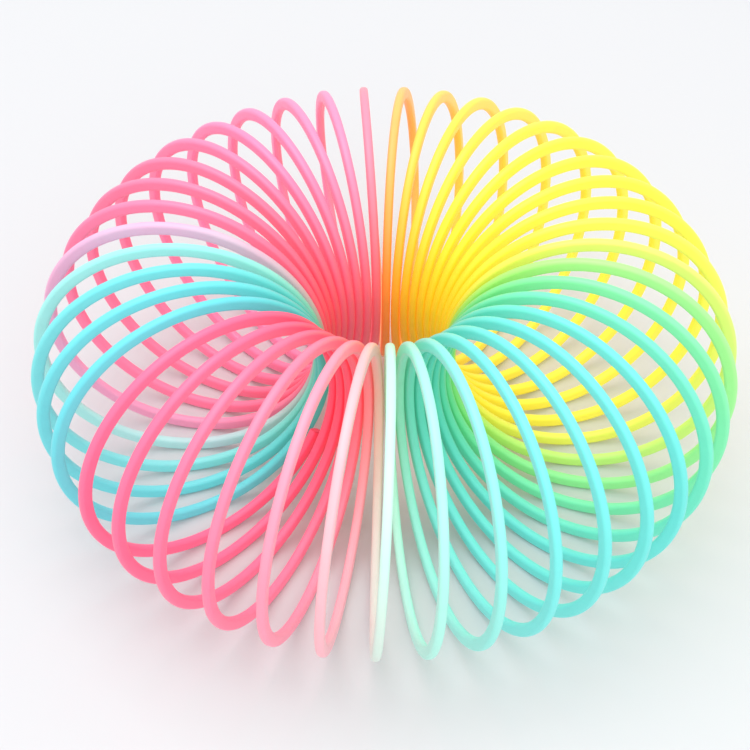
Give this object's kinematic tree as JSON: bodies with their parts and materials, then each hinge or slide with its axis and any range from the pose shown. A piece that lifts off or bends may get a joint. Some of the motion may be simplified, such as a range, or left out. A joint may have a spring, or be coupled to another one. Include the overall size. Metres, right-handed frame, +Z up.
{
  "type": "spring coil toy",
  "caption": "Rainbow plastic spring coil bent into a ring so that its turns fan out; the turns twist at their inner side and the ring opens out into a straight closed coil.",
  "frame": {"origin": "on the ground, on the ring's axis", "axes": "+Z up along the ring's axis; the coil's two ends meet on the -X side, a little towards -Y; the viewer stands on the -Y side"},
  "size_m": [0.2159, 0.2158, 0.09],
  "materials": {
    "plastic_01": "satin, slightly translucent",
    "plastic_02": "satin, slightly translucent",
    "plastic_03": "satin, slightly translucent",
    "plastic_04": "satin, slightly translucent",
    "plastic_05": "satin, slightly translucent",
    "plastic_06": "satin, slightly translucent",
    "plastic_07": "satin, slightly translucent",
    "plastic_08": "satin, slightly translucent",
    "plastic_09": "satin, slightly translucent",
    "plastic_10": "satin, slightly translucent",
    "plastic_11": "satin, slightly translucent",
    "plastic_12": "satin, slightly translucent",
    "plastic_13": "satin, slightly translucent",
    "plastic_14": "satin, slightly translucent",
    "plastic_15": "satin, slightly translucent",
    "plastic_16": "satin, slightly translucent",
    "plastic_17": "satin, slightly translucent",
    "plastic_18": "satin, slightly translucent",
    "plastic_19": "satin, slightly translucent",
    "plastic_20": "satin, slightly translucent",
    "plastic_21": "satin, slightly translucent",
    "plastic_22": "satin, slightly translucent",
    "plastic_23": "satin, slightly translucent",
    "plastic_24": "satin, slightly translucent",
    "plastic_25": "satin, slightly translucent",
    "plastic_26": "satin, slightly translucent",
    "plastic_27": "satin, slightly translucent",
    "plastic_28": "satin, slightly translucent",
    "plastic_29": "satin, slightly translucent",
    "plastic_30": "satin, slightly translucent",
    "plastic_31": "satin, slightly translucent",
    "plastic_32": "satin, slightly translucent",
    "plastic_33": "satin, slightly translucent",
    "plastic_34": "satin, slightly translucent",
    "plastic_35": "satin, slightly translucent",
    "plastic_36": "satin, slightly translucent",
    "plastic_37": "satin, slightly translucent",
    "plastic_38": "satin, slightly translucent",
    "plastic_39": "satin, slightly translucent",
    "plastic_40": "satin, slightly translucent",
    "plastic_41": "satin, slightly translucent"
  },
  "bodies": {
    "first_end_turn": {"first_end_turn": "plastic_01"},
    "turn_02": {"turn_02": "plastic_02"},
    "turn_03": {"turn_03": "plastic_03"},
    "turn_04": {"turn_04": "plastic_04"},
    "turn_05": {"turn_05": "plastic_05"},
    "turn_06": {"turn_06": "plastic_06"},
    "turn_07": {"turn_07": "plastic_07"},
    "turn_08": {"turn_08": "plastic_08"},
    "turn_09": {"turn_09": "plastic_09"},
    "turn_10": {"turn_10": "plastic_10"},
    "turn_11": {"turn_11": "plastic_11"},
    "turn_12": {"turn_12": "plastic_12"},
    "turn_13": {"turn_13": "plastic_13"},
    "turn_14": {"turn_14": "plastic_14"},
    "turn_15": {"turn_15": "plastic_15"},
    "turn_16": {"turn_16": "plastic_16"},
    "turn_17": {"turn_17": "plastic_17"},
    "turn_18": {"turn_18": "plastic_18"},
    "turn_19": {"turn_19": "plastic_19"},
    "turn_20": {"turn_20": "plastic_20"},
    "turn_21": {"turn_21": "plastic_21"},
    "turn_22": {"turn_22": "plastic_22"},
    "turn_23": {"turn_23": "plastic_23"},
    "turn_24": {"turn_24": "plastic_24"},
    "turn_25": {"turn_25": "plastic_25"},
    "turn_26": {"turn_26": "plastic_26"},
    "turn_27": {"turn_27": "plastic_27"},
    "turn_28": {"turn_28": "plastic_28"},
    "turn_29": {"turn_29": "plastic_29"},
    "turn_30": {"turn_30": "plastic_30"},
    "turn_31": {"turn_31": "plastic_31"},
    "turn_32": {"turn_32": "plastic_32"},
    "turn_33": {"turn_33": "plastic_33"},
    "turn_34": {"turn_34": "plastic_34"},
    "turn_35": {"turn_35": "plastic_35"},
    "turn_36": {"turn_36": "plastic_36"},
    "turn_37": {"turn_37": "plastic_37"},
    "turn_38": {"turn_38": "plastic_38"},
    "turn_39": {"turn_39": "plastic_39"},
    "turn_40": {"turn_40": "plastic_40"},
    "last_end_turn": {"last_end_turn": "plastic_41"}
  },
  "joints": [
    {"name": "inner_twist_01", "type": "hinge", "parent": "turn_02", "child": "first_end_turn", "pos_m": [-0.01847, -0.00767, 0.045], "axis": [0, 0, -1], "range_deg": [0, 8.75]},
    {"name": "inner_twist_02", "type": "hinge", "parent": "turn_03", "child": "turn_02", "pos_m": [-0.01942, -0.00477, 0.045], "axis": [0, 0, -1], "range_deg": [0, 8.75]},
    {"name": "inner_twist_03", "type": "hinge", "parent": "turn_04", "child": "turn_03", "pos_m": [-0.01992, -0.00176, 0.045], "axis": [0, 0, -1], "range_deg": [0, 8.75]},
    {"name": "inner_twist_04", "type": "hinge", "parent": "turn_05", "child": "turn_04", "pos_m": [-0.01996, 0.00129, 0.045], "axis": [0, 0, -1], "range_deg": [0, 8.75]},
    {"name": "inner_twist_05", "type": "hinge", "parent": "turn_06", "child": "turn_05", "pos_m": [-0.01953, 0.00431, 0.045], "axis": [0, 0, -1], "range_deg": [0, 8.75]},
    {"name": "inner_twist_06", "type": "hinge", "parent": "turn_07", "child": "turn_06", "pos_m": [-0.01865, 0.00723, 0.045], "axis": [0, 0, -1], "range_deg": [0, 8.75]},
    {"name": "inner_twist_07", "type": "hinge", "parent": "turn_08", "child": "turn_07", "pos_m": [-0.01733, 0.00998, 0.045], "axis": [0, 0, -1], "range_deg": [0, 8.75]},
    {"name": "inner_twist_08", "type": "hinge", "parent": "turn_09", "child": "turn_08", "pos_m": [-0.01561, 0.0125, 0.045], "axis": [0, 0, -1], "range_deg": [0, 8.75]},
    {"name": "inner_twist_09", "type": "hinge", "parent": "turn_10", "child": "turn_09", "pos_m": [-0.01352, 0.01473, 0.045], "axis": [0, 0, -1], "range_deg": [0, 8.75]},
    {"name": "inner_twist_10", "type": "hinge", "parent": "turn_11", "child": "turn_10", "pos_m": [-0.01113, 0.01662, 0.045], "axis": [0, 0, -1], "range_deg": [0, 8.75]},
    {"name": "inner_twist_11", "type": "hinge", "parent": "turn_12", "child": "turn_11", "pos_m": [-0.00847, 0.01812, 0.045], "axis": [0, 0, -1], "range_deg": [0, 8.75]},
    {"name": "inner_twist_12", "type": "hinge", "parent": "turn_13", "child": "turn_12", "pos_m": [-0.00561, 0.0192, 0.045], "axis": [0, 0, -1], "range_deg": [0, 8.75]},
    {"name": "inner_twist_13", "type": "hinge", "parent": "turn_14", "child": "turn_13", "pos_m": [-0.00263, 0.01983, 0.045], "axis": [0, 0, -1], "range_deg": [0, 8.75]},
    {"name": "inner_twist_14", "type": "hinge", "parent": "turn_15", "child": "turn_14", "pos_m": [0.00042, 0.02, 0.045], "axis": [0, 0, -1], "range_deg": [0, 8.75]},
    {"name": "inner_twist_15", "type": "hinge", "parent": "turn_16", "child": "turn_15", "pos_m": [0.00346, 0.0197, 0.045], "axis": [0, 0, -1], "range_deg": [0, 8.75]},
    {"name": "inner_twist_16", "type": "hinge", "parent": "turn_17", "child": "turn_16", "pos_m": [0.00641, 0.01894, 0.045], "axis": [0, 0, -1], "range_deg": [0, 8.75]},
    {"name": "inner_twist_17", "type": "hinge", "parent": "turn_18", "child": "turn_17", "pos_m": [0.00922, 0.01775, 0.045], "axis": [0, 0, -1], "range_deg": [0, 8.75]},
    {"name": "inner_twist_18", "type": "hinge", "parent": "turn_19", "child": "turn_18", "pos_m": [0.01181, 0.01614, 0.045], "axis": [0, 0, -1], "range_deg": [0, 8.75]},
    {"name": "inner_twist_19", "type": "hinge", "parent": "turn_20", "child": "turn_19", "pos_m": [0.01413, 0.01415, 0.045], "axis": [0, 0, -1], "range_deg": [0, 8.75]},
    {"name": "inner_twist_20", "type": "hinge", "parent": "turn_21", "child": "turn_20", "pos_m": [0.01612, 0.01184, 0.045], "axis": [0, 0, -1], "range_deg": [0, 8.75]},
    {"name": "inner_twist_21", "type": "hinge", "parent": "turn_21", "child": "turn_22", "pos_m": [0.01773, 0.00925, 0.045], "axis": [0, 0, 1], "range_deg": [0, 8.75]},
    {"name": "inner_twist_22", "type": "hinge", "parent": "turn_22", "child": "turn_23", "pos_m": [0.01893, 0.00645, 0.045], "axis": [0, 0, 1], "range_deg": [0, 8.75]},
    {"name": "inner_twist_23", "type": "hinge", "parent": "turn_23", "child": "turn_24", "pos_m": [0.01969, 0.00349, 0.045], "axis": [0, 0, 1], "range_deg": [0, 8.75]},
    {"name": "inner_twist_24", "type": "hinge", "parent": "turn_24", "child": "turn_25", "pos_m": [0.01999, 0.00045, 0.045], "axis": [0, 0, 1], "range_deg": [0, 8.75]},
    {"name": "inner_twist_25", "type": "hinge", "parent": "turn_25", "child": "turn_26", "pos_m": [0.01983, -0.00259, 0.045], "axis": [0, 0, 1], "range_deg": [0, 8.75]},
    {"name": "inner_twist_26", "type": "hinge", "parent": "turn_26", "child": "turn_27", "pos_m": [0.01921, -0.00558, 0.045], "axis": [0, 0, 1], "range_deg": [0, 8.75]},
    {"name": "inner_twist_27", "type": "hinge", "parent": "turn_27", "child": "turn_28", "pos_m": [0.01813, -0.00844, 0.045], "axis": [0, 0, 1], "range_deg": [0, 8.75]},
    {"name": "inner_twist_28", "type": "hinge", "parent": "turn_28", "child": "turn_29", "pos_m": [0.01664, -0.0111, 0.045], "axis": [0, 0, 1], "range_deg": [0, 8.75]},
    {"name": "inner_twist_29", "type": "hinge", "parent": "turn_29", "child": "turn_30", "pos_m": [0.01476, -0.0135, 0.045], "axis": [0, 0, 1], "range_deg": [0, 8.75]},
    {"name": "inner_twist_30", "type": "hinge", "parent": "turn_30", "child": "turn_31", "pos_m": [0.01253, -0.01559, 0.045], "axis": [0, 0, 1], "range_deg": [0, 8.75]},
    {"name": "inner_twist_31", "type": "hinge", "parent": "turn_31", "child": "turn_32", "pos_m": [0.01002, -0.01731, 0.045], "axis": [0, 0, 1], "range_deg": [0, 8.75]},
    {"name": "inner_twist_32", "type": "hinge", "parent": "turn_32", "child": "turn_33", "pos_m": [0.00726, -0.01863, 0.045], "axis": [0, 0, 1], "range_deg": [0, 8.75]},
    {"name": "inner_twist_33", "type": "hinge", "parent": "turn_33", "child": "turn_34", "pos_m": [0.00435, -0.01952, 0.045], "axis": [0, 0, 1], "range_deg": [0, 8.75]},
    {"name": "inner_twist_34", "type": "hinge", "parent": "turn_34", "child": "turn_35", "pos_m": [0.00133, -0.01996, 0.045], "axis": [0, 0, 1], "range_deg": [0, 8.75]},
    {"name": "inner_twist_35", "type": "hinge", "parent": "turn_35", "child": "turn_36", "pos_m": [-0.00173, -0.01993, 0.045], "axis": [0, 0, 1], "range_deg": [0, 8.75]},
    {"name": "inner_twist_36", "type": "hinge", "parent": "turn_36", "child": "turn_37", "pos_m": [-0.00474, -0.01943, 0.045], "axis": [0, 0, 1], "range_deg": [0, 8.75]},
    {"name": "inner_twist_37", "type": "hinge", "parent": "turn_37", "child": "turn_38", "pos_m": [-0.00764, -0.01848, 0.045], "axis": [0, 0, 1], "range_deg": [0, 8.75]},
    {"name": "inner_twist_38", "type": "hinge", "parent": "turn_38", "child": "turn_39", "pos_m": [-0.01036, -0.01711, 0.045], "axis": [0, 0, 1], "range_deg": [0, 8.75]},
    {"name": "inner_twist_39", "type": "hinge", "parent": "turn_39", "child": "turn_40", "pos_m": [-0.01284, -0.01533, 0.045], "axis": [0, 0, 1], "range_deg": [0, 8.75]},
    {"name": "inner_twist_40", "type": "hinge", "parent": "turn_40", "child": "last_end_turn", "pos_m": [-0.01503, -0.0132, 0.045], "axis": [0, 0, 1], "range_deg": [0, 8.75]}
  ],
  "couplings": [
    {"joint": "inner_twist_01", "follows": "inner_twist_21", "ratio": 1},
    {"joint": "inner_twist_02", "follows": "inner_twist_21", "ratio": 1},
    {"joint": "inner_twist_03", "follows": "inner_twist_21", "ratio": 1},
    {"joint": "inner_twist_04", "follows": "inner_twist_21", "ratio": 1},
    {"joint": "inner_twist_05", "follows": "inner_twist_21", "ratio": 1},
    {"joint": "inner_twist_06", "follows": "inner_twist_21", "ratio": 1},
    {"joint": "inner_twist_07", "follows": "inner_twist_21", "ratio": 1},
    {"joint": "inner_twist_08", "follows": "inner_twist_21", "ratio": 1},
    {"joint": "inner_twist_09", "follows": "inner_twist_21", "ratio": 1},
    {"joint": "inner_twist_10", "follows": "inner_twist_21", "ratio": 1},
    {"joint": "inner_twist_11", "follows": "inner_twist_21", "ratio": 1},
    {"joint": "inner_twist_12", "follows": "inner_twist_21", "ratio": 1},
    {"joint": "inner_twist_13", "follows": "inner_twist_21", "ratio": 1},
    {"joint": "inner_twist_14", "follows": "inner_twist_21", "ratio": 1},
    {"joint": "inner_twist_15", "follows": "inner_twist_21", "ratio": 1},
    {"joint": "inner_twist_16", "follows": "inner_twist_21", "ratio": 1},
    {"joint": "inner_twist_17", "follows": "inner_twist_21", "ratio": 1},
    {"joint": "inner_twist_18", "follows": "inner_twist_21", "ratio": 1},
    {"joint": "inner_twist_19", "follows": "inner_twist_21", "ratio": 1},
    {"joint": "inner_twist_20", "follows": "inner_twist_21", "ratio": 1},
    {"joint": "inner_twist_22", "follows": "inner_twist_21", "ratio": 1},
    {"joint": "inner_twist_23", "follows": "inner_twist_21", "ratio": 1},
    {"joint": "inner_twist_24", "follows": "inner_twist_21", "ratio": 1},
    {"joint": "inner_twist_25", "follows": "inner_twist_21", "ratio": 1},
    {"joint": "inner_twist_26", "follows": "inner_twist_21", "ratio": 1},
    {"joint": "inner_twist_27", "follows": "inner_twist_21", "ratio": 1},
    {"joint": "inner_twist_28", "follows": "inner_twist_21", "ratio": 1},
    {"joint": "inner_twist_29", "follows": "inner_twist_21", "ratio": 1},
    {"joint": "inner_twist_30", "follows": "inner_twist_21", "ratio": 1},
    {"joint": "inner_twist_31", "follows": "inner_twist_21", "ratio": 1},
    {"joint": "inner_twist_32", "follows": "inner_twist_21", "ratio": 1},
    {"joint": "inner_twist_33", "follows": "inner_twist_21", "ratio": 1},
    {"joint": "inner_twist_34", "follows": "inner_twist_21", "ratio": 1},
    {"joint": "inner_twist_35", "follows": "inner_twist_21", "ratio": 1},
    {"joint": "inner_twist_36", "follows": "inner_twist_21", "ratio": 1},
    {"joint": "inner_twist_37", "follows": "inner_twist_21", "ratio": 1},
    {"joint": "inner_twist_38", "follows": "inner_twist_21", "ratio": 1},
    {"joint": "inner_twist_39", "follows": "inner_twist_21", "ratio": 1},
    {"joint": "inner_twist_40", "follows": "inner_twist_21", "ratio": 1}
  ]
}
